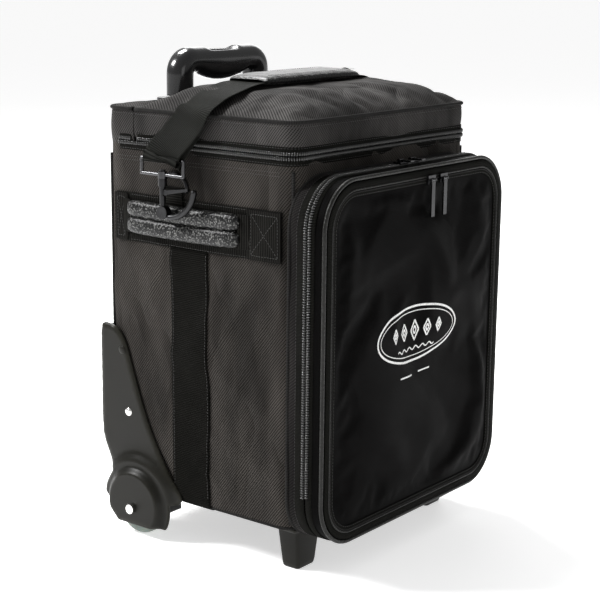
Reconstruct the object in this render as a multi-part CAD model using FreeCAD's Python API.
import FreeCAD, Part
import math
import os

# Wheeled soft-sided carry bag with a zip lid, a zip front compartment, carry
# straps and a three-stage trolley handle.
#
# Frame: millimetres, +Z up, +X to the bag's left-to-right, -Y towards the front
# compartment. Z = 0 is the floor; X = 0 is the plane of symmetry; Y = 0 is half
# way between the foremost and the rearmost point.

V = FreeCAD.Vector
X_AXIS = V(1, 0, 0)
Y_AXIS = V(0, 1, 0)
Z_AXIS = V(0, 0, 1)

# ---- driving dimensions ------------------------------------------------------
BODY_WIDTH = 300.0
BODY_DEPTH = 244.0
BODY_BOTTOM = 46.0          # height of the body's floor above the ground
LID_SEAM = 415.0            # height of the lid zipper
LID_EDGE = 447.0            # height of the piped edge round the lid
LID_CROWN = 21.0            # how far the padded lid domes above its edge
FRONT_DEPTH = 42.0          # front compartment, out from the body
FRONT_WIDTH = 316.0
FRONT_BOTTOM = 37.0
FRONT_TOP = 396.0
FRONT_CORNER = 48.0
DECK_DEPTH = 40.0           # fixed rear deck that the handle comes through
FRONT_PROUD = 7.2           # the pocket's zip sliders stand this far off the front
REAR_PROUD = 12.0           # wheel guards stand this far off the back
WEBBING = 50.0              # all straps are 50 mm webbing
WHEEL_RADIUS = 30.0
TUBE_SPACING = 124.0
HANDLE_TOP = 505.0

# ---- worked out from them ------------------------------------------------------
TOTAL_DEPTH = FRONT_PROUD + FRONT_DEPTH + BODY_DEPTH + REAR_PROUD
FOREMOST = -TOTAL_DEPTH / 2
Y_FRONT = FOREMOST + FRONT_PROUD + FRONT_DEPTH      # body's front face
Y_REAR = Y_FRONT + BODY_DEPTH                       # body's back face
Y_DECK = Y_REAR - DECK_DEPTH                        # lid hinge line
HALF = BODY_WIDTH / 2
BODY_CORNER = 16.0
SKIN = 1.6                  # fabric
FOAM = 6.5
LINER = 1.0
BOARD = 3.0                 # stiffening boards under and behind the load
GAP = 0.2                   # between layers that lie together
CLEAR = 0.4                 # between pieces that move past each other

TUBE_Y = Y_REAR - 22.0
TUBE_X = TUBE_SPACING / 2
TUBE_FLOOR = 62.0
BEZEL_TOP = LID_EDGE + 6.0
POST_RADIUS = 13.5

WHEEL_X = 149.0             # centre plane of the left wheel is at -WHEEL_X
WHEEL_WIDTH = 22.0
TREAD_CORNER = 8.0
WHEEL_Y = Y_FRONT + 199.0
WELL_TOP = 72.0
WELL_FRONT = WHEEL_Y - 36.0
WELL_INNER = 128.0

BAND_TOP = 363.0
BAND_BOTTOM = BAND_TOP - WEBBING
STRAP_THICK = 1.6
STRAP_Y = Y_FRONT + 128.0   # the vertical lifting straps
CARRY_Y = Y_FRONT + 116.0   # the carry strap where it crosses the lid
HOOK_Y = Y_FRONT + 147.0    # the snap hooks hang a little further back

DOOR_SEAM = Y_FRONT - 23.0  # zipper between gusset and door
DOOR_FACE = Y_FRONT - FRONT_DEPTH


# ---- small building blocks -----------------------------------------------------
def box(x0, x1, y0, y1, z0, z1):
    return Part.makeBox(x1 - x0, y1 - y0, z1 - z0, V(x0, y0, z0))


def rod(start, direction, radius, length):
    return Part.makeCylinder(radius, length, V(*start), direction)


def pipe(outer, inner, start, direction, length):
    return rod(start, direction, outer, length).cut(rod(start, direction, inner, length))


def other_side(shape):
    return shape.mirror(V(0, 0, 0), X_AXIS)


def both_sides(shape):
    return Part.makeCompound([shape, other_side(shape)])


def upright_block(x0, x1, y0, y1, z0, z1, corner):
    block = box(x0, x1, y0, y1, z0, z1)
    uprights = [e for e in block.Edges if abs(e.BoundBox.ZLength - (z1 - z0)) < 1e-6
                and e.BoundBox.XLength + e.BoundBox.YLength < 1e-6]
    return block.makeFillet(corner, uprights)


def rounded_wire(width, low, high, corner, y):
    """Rounded rectangle in an XZ plane, centred on X = 0."""
    w = width / 2
    k = corner * (1 - math.sqrt(0.5))
    corners = [(w, high), (-w, high), (-w, low), (w, low)]
    signs = [(-1, -1), (1, -1), (1, 1), (-1, 1)]
    edges = []
    start = None
    for index, (corner_point, sign) in enumerate(zip(corners, signs)):
        cx, cz = corner_point
        sx, sz = sign
        on_upright = V(cx, y, cz + sz * corner)
        on_level = V(cx + sx * corner, y, cz)
        middle = V(cx + sx * k, y, cz + sz * k)
        first, last = (on_upright, on_level) if index % 2 == 0 else (on_level, on_upright)
        if start is not None:
            edges.append(Part.LineSegment(start, first).toShape())
        else:
            opening = first
        edges.append(Part.Arc(first, middle, last).toShape())
        start = last
    edges.append(Part.LineSegment(start, opening).toShape())
    return Part.Wire(edges)


def rounded_panel(width, low, high, corner, y_back, y_front):
    face = Part.Face(rounded_wire(width, low, high, corner, y_back))
    return face.extrude(V(0, y_front - y_back, 0))


def front_ring(grow, thickness, y_back, y_front):
    """Ring round the front compartment; its outside is `grow` outside the outline."""
    outer = rounded_panel(FRONT_WIDTH + 2 * grow, FRONT_BOTTOM - grow, FRONT_TOP + grow,
                          FRONT_CORNER + grow, y_back, y_front)
    inset = grow - thickness
    inner = rounded_panel(FRONT_WIDTH + 2 * inset, FRONT_BOTTOM - inset, FRONT_TOP + inset,
                          FRONT_CORNER + inset, y_back, y_front)
    return outer.cut(inner)


def webbing(stations, width=WEBBING, thick=STRAP_THICK):
    """Flat strap through (x, y, z) stations; its width lies along Y."""
    points = [V(*s) for s in stations]
    wires = []
    for index, point in enumerate(points):
        before = points[max(index - 1, 0)]
        after = points[min(index + 1, len(points) - 1)]
        run = V(after.x - before.x, 0, after.z - before.z).normalize()
        across = V(-run.z, 0, run.x) * (thick / 2)
        side = V(0, width / 2, 0)
        ring = [point - side - across, point + side - across,
                point + side + across, point - side + across]
        wires.append(Part.makePolygon(ring + ring[:1]))
    return Part.makeLoft(wires, True, True)


def outline_solid(points, x0, x1):
    """Polygon of (y, z) points, extruded from x0 to x1."""
    ring = [V(x0, y, z) for y, z in points]
    face = Part.Face(Part.makePolygon(ring + ring[:1]))
    return face.extrude(V(x1 - x0, 0, 0))


parts = {}


# ---- bag body --------------------------------------------------------------------
def tub(inset, rear, top):
    """Solid tub shape of the body, set in from the outside by `inset`."""
    block = upright_block(-HALF + inset, HALF - inset, Y_FRONT + inset, rear - inset,
                          BODY_BOTTOM + inset, top, max(BODY_CORNER - inset, 4.0))
    well = box(-HALF - 10, -WELL_INNER + inset, WELL_FRONT - inset, Y_REAR + 10,
               BODY_BOTTOM - 10, WELL_TOP + inset)
    return block.cut(well).cut(other_side(well))


def body_layers():
    shell = tub(0, Y_REAR, LID_SEAM - 3).cut(tub(SKIN, Y_REAR, LID_SEAM + 5))
    parts["body_shell"] = shell
    foam_at = SKIN + GAP
    foam_rear = Y_DECK + foam_at
    foam = tub(foam_at, foam_rear, LID_SEAM - 5).cut(
        tub(foam_at + FOAM, foam_rear, LID_SEAM + 5))
    parts["insulation_foam"] = foam
    liner_at = foam_at + FOAM + GAP
    liner_rear = foam_rear - FOAM - GAP + liner_at - foam_at
    liner = tub(liner_at, liner_rear, LID_SEAM - 6).cut(
        tub(liner_at + LINER, liner_rear, LID_SEAM + 5))
    parts["inner_liner"] = liner
    inside = liner_at + LINER + GAP
    parts["base_board"] = upright_block(-WELL_INNER + 14, WELL_INNER - 14, Y_FRONT + inside + 2,
                                        Y_DECK - inside - 2, BODY_BOTTOM + inside,
                                        BODY_BOTTOM + inside + BOARD, 8)
    parts["back_board"] = box(-HALF + 28, HALF - 28, Y_DECK + CLEAR, Y_DECK + CLEAR + BOARD,
                              WELL_TOP + 6, LID_SEAM - 5)


def rear_deck():
    """Padded fixed strip behind the lid, with one slot for both handle tubes."""
    deck = box(-HALF, HALF, Y_DECK + CLEAR, Y_REAR, LID_SEAM - 2.8, LID_EDGE)
    rear_uprights = [e for e in deck.Edges
                     if abs(e.BoundBox.ZLength - (LID_EDGE - LID_SEAM + 2.8)) < 1e-6
                     and e.CenterOfMass.y > Y_REAR - 1]
    deck = deck.makeFillet(BODY_CORNER, rear_uprights)
    slot = box(-TUBE_X - 15, TUBE_X + 15, TUBE_Y - 15, TUBE_Y + 15, LID_SEAM - 10, LID_EDGE + 5)
    parts["rear_deck"] = deck.cut(slot)


# ---- lid ---------------------------------------------------------------------------
def lid_pillow(inset):
    """Lid outline with its domed top, set in by `inset`."""
    x = HALF - inset
    front = Y_FRONT + inset
    rear = Y_DECK - inset
    bottom = LID_SEAM + 3
    edge = LID_EDGE - inset * 0.6
    wall = upright_block(-x, x, front, rear, bottom, edge, max(BODY_CORNER - inset, 4.0))
    steps = [(0, 0), (11, 0.55), (32, 0.88), (64, 1.0)]
    wires = []
    for shrink, rise in steps:
        level = edge + LID_CROWN * rise
        wires.append(Part.makePolygon([V(-x + shrink + 4, front + shrink + 4, level),
                                       V(x - shrink - 4, front + shrink + 4, level),
                                       V(x - shrink - 4, rear - shrink - 4, level),
                                       V(-x + shrink + 4, rear - shrink - 4, level),
                                       V(-x + shrink + 4, front + shrink + 4, level)]))
    crown = Part.makeLoft(wires, True, True)
    return wall.fuse(crown).removeSplitter()


def lid_layers():
    below = box(-HALF, HALF, Y_FRONT - 5, Y_DECK + 5, LID_SEAM - 20, LID_SEAM + 4)
    parts["lid_cover"] = lid_pillow(0).cut(lid_pillow(SKIN)).cut(below)
    foam_at = SKIN + GAP
    foam_thick = 12.0
    open_below = box(-HALF, HALF, Y_FRONT - 5, Y_DECK + 5, LID_SEAM - 20, LID_SEAM + 8)
    parts["lid_foam"] = lid_pillow(foam_at).cut(lid_pillow(foam_at + foam_thick)).cut(open_below)
    liner_at = foam_at + foam_thick + GAP
    parts["lid_liner"] = lid_pillow(liner_at).cut(lid_pillow(liner_at + LINER)).cut(open_below)


def zip_band(inner, outer, low, high, rear):
    """Three-sided band round the front and sides of the body, open at the back."""
    solid = upright_block(-HALF - outer, HALF + outer, Y_FRONT - outer, Y_REAR, low, high,
                          BODY_CORNER)
    hollow = upright_block(-HALF - inner, HALF + inner, Y_FRONT - inner, Y_REAR + 10, low - 1,
                           high + 1, BODY_CORNER)
    behind = box(-HALF - 20, HALF + 20, rear, Y_REAR + 20, low - 1, high + 1)
    return solid.cut(hollow).cut(behind)


def lid_zipper():
    """Tape, coil and the line of stitches of each half, and the sewn-down ends."""
    half_gap = 0.3
    tape = 9.0
    rear = Y_REAR - 18
    lower = zip_band(0.1, 1.2, LID_SEAM - tape, LID_SEAM - half_gap, rear)
    lower = lower.fuse(zip_band(1.0, 2.6, LID_SEAM - 2.6, LID_SEAM - half_gap, rear))
    upper = zip_band(0.1, 1.2, LID_SEAM + half_gap, LID_SEAM + tape, Y_DECK - 0.2)
    upper = upper.fuse(zip_band(1.0, 2.6, LID_SEAM + half_gap, LID_SEAM + 2.6, Y_DECK - 0.2))
    parts["lid_zipper_upper"] = upper
    end = box(-HALF - 2.6, -HALF - 0.1, Y_DECK + CLEAR, rear, LID_SEAM + half_gap, LID_SEAM + 2.6)
    end = end.fuse(box(-HALF - 1.2, -HALF - 0.1, Y_DECK + CLEAR, rear, LID_SEAM + half_gap,
                       LID_SEAM + tape))
    parts["lid_zipper_lower"] = Part.makeCompound([lower, end, other_side(end)])


# ---- zip sliders and pulls ----------------------------------------------------------
SLIDER_LENGTH = 13.0
SLIDER_WIDTH = 9.0
SLIDER_THICK = 2.6
PULL_WIDTH = 6.0
PULL_THICK = 1.6


def slider_pair(name, centre, outward, along, down, pull_length):
    """Slider body with its bridge, and the pull hanging from it."""
    def place(a, o, d):
        return centre + along * a + outward * o + down * d

    def block(a0, a1, o0, o1, d0, d1):
        low = place(a0, o0, d0)
        high = place(a1, o1, d1)
        return box(min(low.x, high.x), max(low.x, high.x), min(low.y, high.y),
                   max(low.y, high.y), min(low.z, high.z), max(low.z, high.z))

    body = block(-SLIDER_LENGTH / 2, SLIDER_LENGTH / 2, 0, SLIDER_THICK,
                 -SLIDER_WIDTH / 2, SLIDER_WIDTH / 2)
    pin_off = SLIDER_THICK + 1.3
    ear_outer = PULL_WIDTH / 2 + 1.4
    ear_inner = PULL_WIDTH / 2 + 0.3
    for side in (-1, 1):
        ear = block(side * ear_inner, side * ear_outer, SLIDER_THICK, SLIDER_THICK + 2.6, -1.3, 1.3)
        body = body.fuse(ear)
    pin = rod(tuple(place(-ear_outer, pin_off, 0)), along, 0.7, 2 * ear_outer)
    parts[name] = body.fuse(pin).removeSplitter()
    tab = block(-PULL_WIDTH / 2, PULL_WIDTH / 2, pin_off - PULL_THICK / 2, pin_off + PULL_THICK / 2,
                1.6, pull_length)
    eye = rod(tuple(place(-PULL_WIDTH / 2, pin_off, 0)), along, 1.25, PULL_WIDTH)
    neck = block(-PULL_WIDTH / 2, PULL_WIDTH / 2, pin_off - 0.6, pin_off + 0.6, 0.8, 2.4)
    bore = rod(tuple(place(-PULL_WIDTH / 2 - 1, pin_off, 0)), along, 0.76, PULL_WIDTH + 2)
    parts[name.replace("slider", "pull")] = tab.fuse(neck).fuse(eye).cut(bore).removeSplitter()


def all_sliders():
    side = HALF + 2.6 + CLEAR
    slider_pair("lid_slider", V(side, Y_FRONT + 30, LID_SEAM), X_AXIS, Y_AXIS, -Z_AXIS, 22)
    top = FRONT_TOP + 1.4 + CLEAR
    for index, (x_place, facing) in enumerate(((-8, -1), (12, 1))):
        slider_pair(f"compartment_slider_{index + 1}", V(x_place, DOOR_SEAM, top), Z_AXIS,
                    X_AXIS * facing, -Y_AXIS, 14)
    for index, (x_place, facing) in enumerate(((14, -1), (36, 1))):
        slider_pair(f"pocket_slider_{index + 1}",
                    V(x_place, DOOR_FACE - 1.6 - CLEAR, FRONT_TOP - 14), -Y_AXIS,
                    X_AXIS * facing, -Z_AXIS, 37)


# ---- front compartment ---------------------------------------------------------------
def front_compartment():
    parts["compartment_gusset"] = front_ring(-1.0, 2.0, Y_FRONT - GAP, DOOR_SEAM + 3.5)
    hinge_side = box(-FRONT_WIDTH, FRONT_WIDTH, DOOR_FACE - 5, Y_FRONT, 0, FRONT_BOTTOM + 16)
    rear_half = front_ring(1.4, 2.0, DOOR_SEAM + 3.4, DOOR_SEAM + 0.3)
    parts["compartment_zipper_rear"] = rear_half.cut(hinge_side)
    front_half = front_ring(1.4, 2.0, DOOR_SEAM - 0.3, DOOR_SEAM - 3.4)
    parts["compartment_zipper_front"] = front_half.cut(hinge_side)
    rim = front_ring(0.0, 3.0, DOOR_SEAM - 3.5, DOOR_FACE + 3.0)
    panel = rounded_panel(FRONT_WIDTH, FRONT_BOTTOM, FRONT_TOP, FRONT_CORNER,
                          DOOR_FACE + 3.0, DOOR_FACE + 1.4)
    parts["door_tray"] = rim.fuse(panel).removeSplitter()
    inset = 10.0
    slit = front_ring(-inset - 1.6, 1.2, DOOR_FACE + 1.2, DOOR_FACE)
    face = rounded_panel(FRONT_WIDTH, FRONT_BOTTOM, FRONT_TOP, FRONT_CORNER,
                         DOOR_FACE + 1.2, DOOR_FACE)
    parts["door_face_panel"] = face.cut(slit)
    parts["pocket_zipper"] = front_ring(-inset, 4.4, DOOR_FACE - 0.1, DOOR_FACE - 1.5)
    badge = Part.Face(Part.Wire([Part.Ellipse(V(0, 0, 0), 70, 27).toShape()])).extrude(V(0, 0, 0.9))
    badge.rotate(V(0, 0, 0), X_AXIS, 90)
    badge.translate(V(0, DOOR_FACE - 0.1, 228))
    parts["front_badge"] = badge


# ---- straps, side handles and hooks -----------------------------------------------------
def side_straps():
    band = box(-HALF - 0.1 - STRAP_THICK, -HALF - 0.1, Y_FRONT + BODY_CORNER - 3,
               Y_REAR - BODY_CORNER, BAND_BOTTOM, BAND_TOP)
    parts["side_bands"] = both_sides(band)
    outside = HALF + 0.2 + STRAP_THICK / 2
    under = BODY_BOTTOM - 0.2 - STRAP_THICK / 2
    turn = 0.6
    route = [(-outside, STRAP_Y, BAND_BOTTOM - 0.2), (-outside, STRAP_Y, under + turn),
             (-outside + turn, STRAP_Y, under), (outside - turn, STRAP_Y, under),
             (outside, STRAP_Y, under + turn), (outside, STRAP_Y, BAND_BOTTOM - 0.2)]
    parts["lifting_strap"] = webbing(route)


def side_handles():
    """Two padded rolls on a webbing loop, its ends stitched on the side band."""
    back, front = Y_REAR - 37, Y_FRONT + 60
    middle = (BAND_TOP + BAND_BOTTOM) / 2
    roll_height, roll_thick = 20.0, 12.0
    against = -HALF - 0.3 - STRAP_THICK
    grip = None
    for low in (middle - roll_height + 0.8, middle - 0.8):
        roll = box(against - roll_thick, against, front, back, low, low + roll_height)
        roll = roll.makeFillet(5.5, roll.Edges)
        grip = roll if grip is None else grip.fuse(roll)
    handle = [grip]
    for y0, y1 in ((Y_FRONT + BODY_CORNER - 1, front - 0.4), (back + 0.4, Y_REAR - BODY_CORNER - 1)):
        handle.append(box(-HALF - 4.2 - STRAP_THICK, -HALF - 2.0, y0, y1, BAND_BOTTOM + 1,
                          BAND_TOP - 1))
    parts["side_handles"] = Part.makeCompound(handle + [other_side(piece) for piece in handle])


RING_WIRE = 1.8
RING_X = HALF + 4.0
RING_Z = BAND_TOP + 8.0


def d_rings():
    """Wire D with its straight bar in a webbing loop at the band's top edge."""
    reach = 17.0
    bar = rod((-RING_X, HOOK_Y - reach, RING_Z), Y_AXIS, RING_WIRE, 2 * reach)
    bow = Part.makeTorus(reach, RING_WIRE, V(-RING_X, HOOK_Y, RING_Z), X_AXIS, -180, 180, 180)
    bow.rotate(V(-RING_X, HOOK_Y, RING_Z), X_AXIS, 90)
    if bow.BoundBox.ZMax < RING_Z + 10:
        bow.rotate(V(-RING_X, HOOK_Y, RING_Z), X_AXIS, 180)
    parts["d_rings"] = both_sides(bar.fuse(bow))
    loop = upright_block(-RING_X - RING_WIRE - 1.4, -HALF - 0.2, HOOK_Y - 12.5, HOOK_Y + 12.5,
                         BAND_TOP + 0.2, RING_Z + RING_WIRE + 1.4, 0.6)
    hole = rod((-RING_X, HOOK_Y - 20, RING_Z), Y_AXIS, RING_WIRE + 0.1, 40)
    parts["d_ring_tabs"] = both_sides(loop.cut(hole))


HOOK_X = HALF + 21.0
LOOP_TOP = 403.0
LOOP_BOTTOM = 388.0


def carry_strap():
    """Webbing from one hook over the lid to the other, arched clear of the lid."""
    crown = LID_EDGE + LID_CROWN
    half_route = [(-HOOK_X, HOOK_Y, LOOP_TOP + 2.2), (-HALF - 13, HOOK_Y - 8, LOOP_TOP + 14),
                  (-HALF - 6, CARRY_Y + 10, LID_EDGE - 8), (-HALF - 2, CARRY_Y + 2, LID_EDGE + 4),
                  (-HALF + 14, CARRY_Y, LID_EDGE + 14), (-HALF + 50, CARRY_Y, crown + 2.5),
                  (-HALF + 72, CARRY_Y, crown + 6)]
    route = half_route + [(0, CARRY_Y, crown + 8)] + [(-x, y, z) for x, y, z in half_route[::-1]]
    parts["carry_strap"] = webbing(route)


PAD_HALF = 76.0


def strap_pad():
    """Padded sleeve round the middle of the carry strap."""
    crown = LID_EDGE + LID_CROWN
    sleeve = webbing([(-PAD_HALF, CARRY_Y, crown + 6.2), (0, CARRY_Y, crown + 8),
                      (PAD_HALF, CARRY_Y, crown + 6.2)], 42, 11)
    core = webbing([(-PAD_HALF - 3, CARRY_Y, crown + 6), (0, CARRY_Y, crown + 8),
                    (PAD_HALF + 3, CARRY_Y, crown + 6)], WEBBING + 1, STRAP_THICK + 0.1)
    top = sleeve.cut(core)
    parts["strap_pad"] = top


def snap_hooks():
    """Rectangular loop on the strap end, swivel barrel, J hook and its gate."""
    wire = 1.9
    reach = WEBBING / 2 + 2.5
    loop = None
    for z in (LOOP_TOP, LOOP_BOTTOM):
        bar = rod((-HOOK_X, HOOK_Y - reach, z), Y_AXIS, wire, 2 * reach)
        loop = bar if loop is None else loop.fuse(bar)
    for side in (-1, 1):
        post = rod((-HOOK_X, HOOK_Y + side * reach, LOOP_BOTTOM), Z_AXIS, wire,
                   LOOP_TOP - LOOP_BOTTOM)
        for z in (LOOP_TOP, LOOP_BOTTOM):
            post = post.fuse(Part.makeSphere(wire, V(-HOOK_X, HOOK_Y + side * reach, z)))
        loop = loop.fuse(post)
    loop = loop.cut(rod((-HOOK_X, HOOK_Y, LOOP_BOTTOM - 5), Z_AXIS, 1.35, 10))
    sleeve = pipe(4.6, 1.35, (-HOOK_X, HOOK_Y, LOOP_BOTTOM - 3.5), Z_AXIS, 7)
    loop = loop.fuse(sleeve)
    parts["hook_loops"] = both_sides(loop)

    pin_top = LOOP_BOTTOM + 5.4
    stem = rod((-HOOK_X, HOOK_Y, LOOP_BOTTOM - 11), Z_AXIS, 1.3, pin_top - LOOP_BOTTOM + 11)
    head = rod((-HOOK_X, HOOK_Y, LOOP_BOTTOM + 3.7), Z_AXIS, 2.6, 1.7)
    barrel = rod((-HOOK_X, HOOK_Y, LOOP_BOTTOM - 11), Z_AXIS, 4.4, 7.2)
    shank_top = V(-HOOK_X, HOOK_Y, LOOP_BOTTOM - 9)
    bend_radius = 9.0
    bend = V(-HOOK_X, HOOK_Y, 356)
    bend_middle = bend + V(0, -bend_radius * (1 - math.sqrt(0.5)), -bend_radius * math.sqrt(0.5))
    lowest = bend + V(0, -bend_radius, -bend_radius)
    nose = V(-HOOK_X, HOOK_Y - 41, 374)
    away, up = lowest.y - nose.y, nose.z - lowest.z
    nose_radius = (away ** 2 + up ** 2) / (2 * up)
    half_turn = math.asin(away / nose_radius) / 2
    nose_middle = lowest + V(0, -nose_radius * math.sin(half_turn),
                             nose_radius * (1 - math.cos(half_turn)))
    path = Part.Wire([Part.LineSegment(shank_top, bend).toShape(),
                      Part.Arc(bend, bend_middle, lowest).toShape(),
                      Part.Arc(lowest, nose_middle, nose).toShape()])
    profile = Part.Wire([Part.Circle(shank_top, Z_AXIS, 3.0).toShape()])
    hook = path.makePipeShell([profile], True, True)
    hook = hook.fuse(Part.makeSphere(3.0, nose)).fuse(barrel).fuse(stem).fuse(head)
    hook = hook.fuse(rod((-HOOK_X - 3.6, HOOK_Y - 1.5, 351), X_AXIS, 6.5, 7.2))
    slot = rod((-HOOK_X - 2.1, HOOK_Y - 5.0, 371), X_AXIS, 4.2, 4.2)
    hook = hook.cut(slot)
    parts["hook_left"] = hook
    parts["hook_right"] = other_side(hook)

    gate_pin = V(-HOOK_X, HOOK_Y - 5.0, 371)
    tip = V(-HOOK_X, HOOK_Y - 34, 376)
    blade = outline_solid([(gate_pin.y, gate_pin.z - 2.2), (gate_pin.y, gate_pin.z + 2.2),
                           (tip.y, tip.z + 1.2), (tip.y, tip.z - 1.2)],
                          -HOOK_X - 1.7, -HOOK_X + 1.7)
    gate = blade.fuse(rod((-HOOK_X - 1.7, gate_pin.y, gate_pin.z), X_AXIS, 2.9, 3.4))
    parts["hook_gate_left"] = gate
    parts["hook_gate_right"] = other_side(gate)


# ---- wheels, guards and feet ----------------------------------------------------------------
GUARD_THICK = 2.6
HUB_RADIUS = 17.0
AXLE_RADIUS = 3.5


def wheels():
    inner = -WHEEL_X + WHEEL_WIDTH / 2
    outer = -WHEEL_X - WHEEL_WIDTH / 2
    centre = (outer, WHEEL_Y, WHEEL_RADIUS)
    tyre = pipe(WHEEL_RADIUS, HUB_RADIUS, centre, X_AXIS, WHEEL_WIDTH)
    rims = [e for e in tyre.Edges if isinstance(e.Curve, Part.Circle)
            and abs(e.Curve.Radius - WHEEL_RADIUS) < 1e-6]
    tyre = tyre.makeFillet(TREAD_CORNER, rims)
    bearing_outer = 8.0
    hub = pipe(HUB_RADIUS, bearing_outer, centre, X_AXIS, WHEEL_WIDTH)
    for index in range(6):
        angle = math.radians(60 * index)
        spot = (outer - 1, WHEEL_Y + 12.5 * math.cos(angle), WHEEL_RADIUS + 12.5 * math.sin(angle))
        hub = hub.cut(rod(spot, X_AXIS, 2.6, 7))
    bearings = []
    for start in (outer, inner - 6):
        bearings.append(pipe(bearing_outer, AXLE_RADIUS + 0.05, (start, WHEEL_Y, WHEEL_RADIUS),
                             X_AXIS, 6))
    parts["wheel_bearings"] = Part.makeCompound(bearings + [other_side(b) for b in bearings])
    for name, shape in (("tyre", tyre), ("wheel_hub", hub)):
        parts[name + "_left"] = shape
        parts[name + "_right"] = other_side(shape)
    head = rod((outer - 11, WHEEL_Y, WHEEL_RADIUS), X_AXIS, 5.0, 1.8)
    axle = head.fuse(rod((outer - 9.5, WHEEL_Y, WHEEL_RADIUS), X_AXIS, AXLE_RADIUS,
                         WHEEL_WIDTH + 9.5 + 5.5))
    parts["wheel_axles"] = both_sides(axle)


def guard_outline():
    """Side of the corner guard: rear edge, rounded top, slanting front edge."""
    rear = Y_REAR + REAR_PROUD
    return [(rear - 20, 62), (rear - 15, 72), (rear - 6, 88), (rear, 104), (rear, 212),
            (rear - 3, 219), (rear - 10, 223), (rear - 26, 219),
            (rear - 36, 210), (rear - 42, 198), (rear - 56, 158),
            (rear - 72, 118), (rear - 92, 82), (rear - 116, 50), (rear - 116, 44),
            (rear - 92, 44), (rear - 40, 62)]


def wheel_guards():
    """Moulded corner guard: side plate, back wall and the wheel cover and arch."""
    outside = -HALF - 0.3 - STRAP_THICK
    plate = outline_solid(guard_outline(), outside - GUARD_THICK, outside)
    back = box(outside, -HALF + 52, Y_REAR + REAR_PROUD - GUARD_THICK, Y_REAR + REAR_PROUD,
               104, 212)
    guard = plate.fuse(back)
    cover_outer = -WHEEL_X - WHEEL_WIDTH / 2 - 9.6
    bowl_centre = WHEEL_RADIUS + 4
    bowl_rim = 48.0
    bowl = Part.makeCone(bowl_rim, 38, outside - GUARD_THICK - cover_outer,
                         V(outside, WHEEL_Y, bowl_centre), V(-1, 0, 0))
    bowl = bowl.fuse(rod((outside, WHEEL_Y, bowl_centre), X_AXIS, 36, HALF - WELL_INNER))
    wheel_room = rod((-WHEEL_X - WHEEL_WIDTH / 2 - 1.5, WHEEL_Y, WHEEL_RADIUS), X_AXIS,
                     WHEEL_RADIUS + 2.5, WHEEL_WIDTH + 3.0)
    wheel_drop = box(-WHEEL_X - WHEEL_WIDTH / 2 - 1.5, -WHEEL_X + WHEEL_WIDTH / 2 + 1.5,
                     WHEEL_Y - WHEEL_RADIUS - 2.5, WHEEL_Y + WHEEL_RADIUS + 2.5, -20, WHEEL_RADIUS)
    below = box(-HALF - 60, 0, Y_FRONT, Y_REAR + 60, -20, 13)
    well_side = box(-WELL_INNER - 1.5, 0, Y_FRONT, Y_REAR + 40, -10, 300)
    guard = guard.fuse(bowl).cut(wheel_room).cut(wheel_drop).cut(below).cut(well_side)
    body_room = tub(-0.15, Y_REAR, LID_SEAM)
    guard = guard.cut(body_room)
    hole = rod((-HALF - 60, WHEEL_Y, WHEEL_RADIUS), X_AXIS, AXLE_RADIUS, 100)
    guard = guard.cut(hole)
    rivet_spots = ((Y_FRONT + 214, 130), (Y_FRONT + 222, 196))
    rivets = []
    for y, z in rivet_spots:
        head = rod((outside - GUARD_THICK - 1.6, y, z), X_AXIS, 4.6, 1.6)
        rivets.append(head.fuse(rod((outside - GUARD_THICK, y, z), X_AXIS, 2.0, GUARD_THICK + 1.5)))
        guard = guard.cut(rod((outside - 10, y, z), X_AXIS, 2.0, 12))
    largest = max(guard.Solids, key=lambda solid: solid.Volume)
    parts["wheel_guard_left"] = largest
    parts["wheel_guard_right"] = other_side(largest)
    parts["guard_rivets"] = Part.makeCompound(rivets + [other_side(r) for r in rivets])


def front_feet():
    """Tapered moulded feet, screwed up into the body floor."""
    top, bottom = BODY_BOTTOM - 4.2, 0.0
    outer = HALF - 14
    levels = [(top, 38, 26), (6, 30, 22), (bottom, 24, 18)]
    wires = []
    middle_x, middle_y = -outer + 19, Y_FRONT + 15.5
    for z, width, depth in levels:
        x0, x1 = middle_x - width / 2, middle_x + width / 2
        y0, y1 = middle_y - depth / 2, middle_y + depth / 2
        ring = [V(x0, y0, z), V(x1, y0, z), V(x1, y1, z), V(x0, y1, z)]
        wires.append(Part.makePolygon(ring + ring[:1]))
    foot = Part.makeLoft(wires, True, True)
    flange = box(middle_x - 24, middle_x + 24, middle_y - 14, middle_y + 14, top, BODY_BOTTOM - 0.2)
    hole = rod((middle_x, middle_y, -1), Z_AXIS, 2.2, 60)
    counterbore = rod((middle_x, middle_y, -1), Z_AXIS, 5.0, 21)
    foot = foot.fuse(flange).cut(hole).cut(counterbore)
    parts["front_feet"] = both_sides(foot)
    screw = rod((middle_x, middle_y, 17), Z_AXIS, 4.6, 3)
    screw = screw.fuse(rod((middle_x, middle_y, 20), Z_AXIS, 2.0, BODY_BOTTOM - 20.2))
    parts["foot_screws"] = both_sides(screw)


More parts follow.
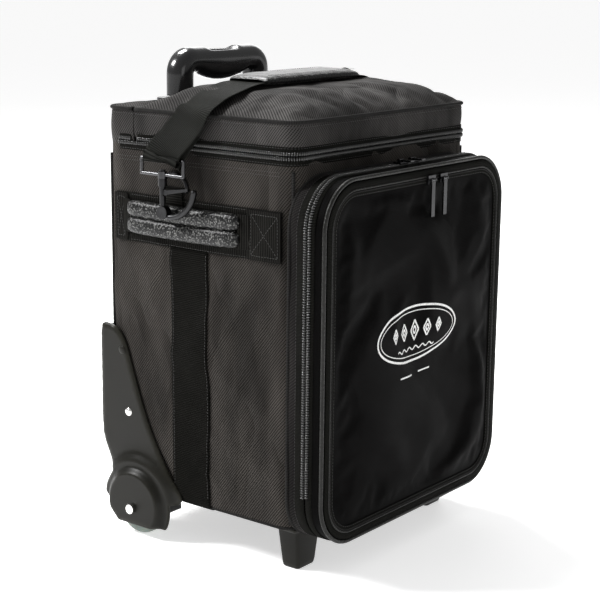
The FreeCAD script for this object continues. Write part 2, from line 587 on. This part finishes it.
# ---- trolley handle ---------------------------------------------------------------------------
def trolley():
    outer_r, outer_bore = 11.8, 10.6
    middle_r, middle_bore = 10.52, 9.5
    inner_r, inner_bore = 9.42, 8.2
    fixed, middle, inner = [], [], []
    for x in (-TUBE_X, TUBE_X):
        fixed.append(pipe(outer_r, outer_bore, (x, TUBE_Y, TUBE_FLOOR), Z_AXIS,
                          BEZEL_TOP - 4 - TUBE_FLOOR))
        middle.append(pipe(middle_r, middle_bore, (x, TUBE_Y, TUBE_FLOOR + 6), Z_AXIS,
                           BEZEL_TOP + 1 - TUBE_FLOOR - 6))
        inner.append(pipe(inner_r, inner_bore, (x, TUBE_Y, TUBE_FLOOR + 12), Z_AXIS,
                          BEZEL_TOP + 26 - TUBE_FLOOR - 12))
    parts["outer_tubes"] = Part.makeCompound(fixed)
    parts["middle_tubes"] = Part.makeCompound(middle)
    parts["inner_tubes"] = Part.makeCompound(inner)

    bezel = upright_block(-TUBE_X - 26, TUBE_X + 26, TUBE_Y - 16, TUBE_Y + 16, LID_EDGE + 0.2,
                          BEZEL_TOP, 12)
    neck = upright_block(-TUBE_X - 14.8, TUBE_X + 14.8, TUBE_Y - 14.8, TUBE_Y + 14.8,
                         LID_EDGE - 24, LID_EDGE + 1, 8)
    bezel = bezel.fuse(neck)
    bracket = box(-TUBE_X - 34, TUBE_X + 34, TUBE_Y - 14, TUBE_Y + 16, TUBE_FLOOR - 12,
                  TUBE_FLOOR + 26)
    for x in (-TUBE_X, TUBE_X):
        bezel = bezel.cut(rod((x, TUBE_Y, LID_EDGE - 30), Z_AXIS, outer_r, 29 + 3))
        bezel = bezel.cut(rod((x, TUBE_Y, LID_EDGE - 30), Z_AXIS, middle_r + 0.06, 60))
        bracket = bracket.cut(rod((x, TUBE_Y, TUBE_FLOOR), Z_AXIS, outer_r, 40))
    parts["handle_bezel"] = bezel
    parts["tube_bracket"] = bracket

    post_foot = BEZEL_TOP + 1.4
    bar_middle = HANDLE_TOP - 14.5
    grip = rod((-TUBE_X, TUBE_Y, bar_middle), X_AXIS, POST_RADIUS, TUBE_SPACING)
    belly = Part.makeCylinder(92, 2 * POST_RADIUS - 9, V(0, TUBE_Y - POST_RADIUS + 4.5, bar_middle + 75),
                              Y_AXIS)
    belly = belly.common(box(-42, 42, TUBE_Y - 12, TUBE_Y + 12, bar_middle - 30, bar_middle))
    grip = grip.fuse(belly)
    for x in (-TUBE_X, TUBE_X):
        grip = grip.fuse(rod((x, TUBE_Y, post_foot), Z_AXIS, POST_RADIUS, bar_middle - post_foot))
        grip = grip.fuse(Part.makeSphere(POST_RADIUS, V(x, TUBE_Y, bar_middle)))
        grip = grip.cut(rod((x, TUBE_Y, post_foot - 1), Z_AXIS, inner_r, BEZEL_TOP + 27 - post_foot))
    scoop = Part.makeCylinder(30, 40, V(0, TUBE_Y - 20, bar_middle + POST_RADIUS + 24), Y_AXIS)
    well = upright_block(-15.3, 15.3, TUBE_Y - 6.3, TUBE_Y + 6.3, bar_middle - 6,
                         bar_middle + POST_RADIUS + 2, 5)
    parts["handle_grip"] = grip.cut(scoop).cut(well)
    button_top = bar_middle + POST_RADIUS - 3.2
    parts["release_button"] = upright_block(-15, 15, TUBE_Y - 6, TUBE_Y + 6, bar_middle + 2,
                                            button_top, 4.8)
    parts["button_spring"] = pipe(4.0, 3.0, (0, TUBE_Y, bar_middle - 5.9), Z_AXIS, 7.8)


def build():
    body_layers()
    rear_deck()
    lid_layers()
    lid_zipper()
    all_sliders()
    front_compartment()
    side_straps()
    side_handles()
    d_rings()
    carry_strap()
    strap_pad()
    snap_hooks()
    wheels()
    wheel_guards()
    front_feet()
    trolley()


build()
os.makedirs("parts", exist_ok=True)
everything = Part.makeCompound(list(parts.values()))
for node, shape in sorted(parts.items()):
    good = "ok" if shape.isValid() else "NOT VALID"
    print(f"{node:26s} {len(shape.Solids)} solids {shape.Volume / 1000:9.2f} cm3 {good}")
    shape.exportStep(f"parts/{node}.step")
size = everything.BoundBox
print(f"{len(parts)} nodes, X {size.XMin:.1f}..{size.XMax:.1f}, Y {size.YMin:.1f}..{size.YMax:.1f}, "
      f"Z {size.ZMin:.1f}..{size.ZMax:.1f}")
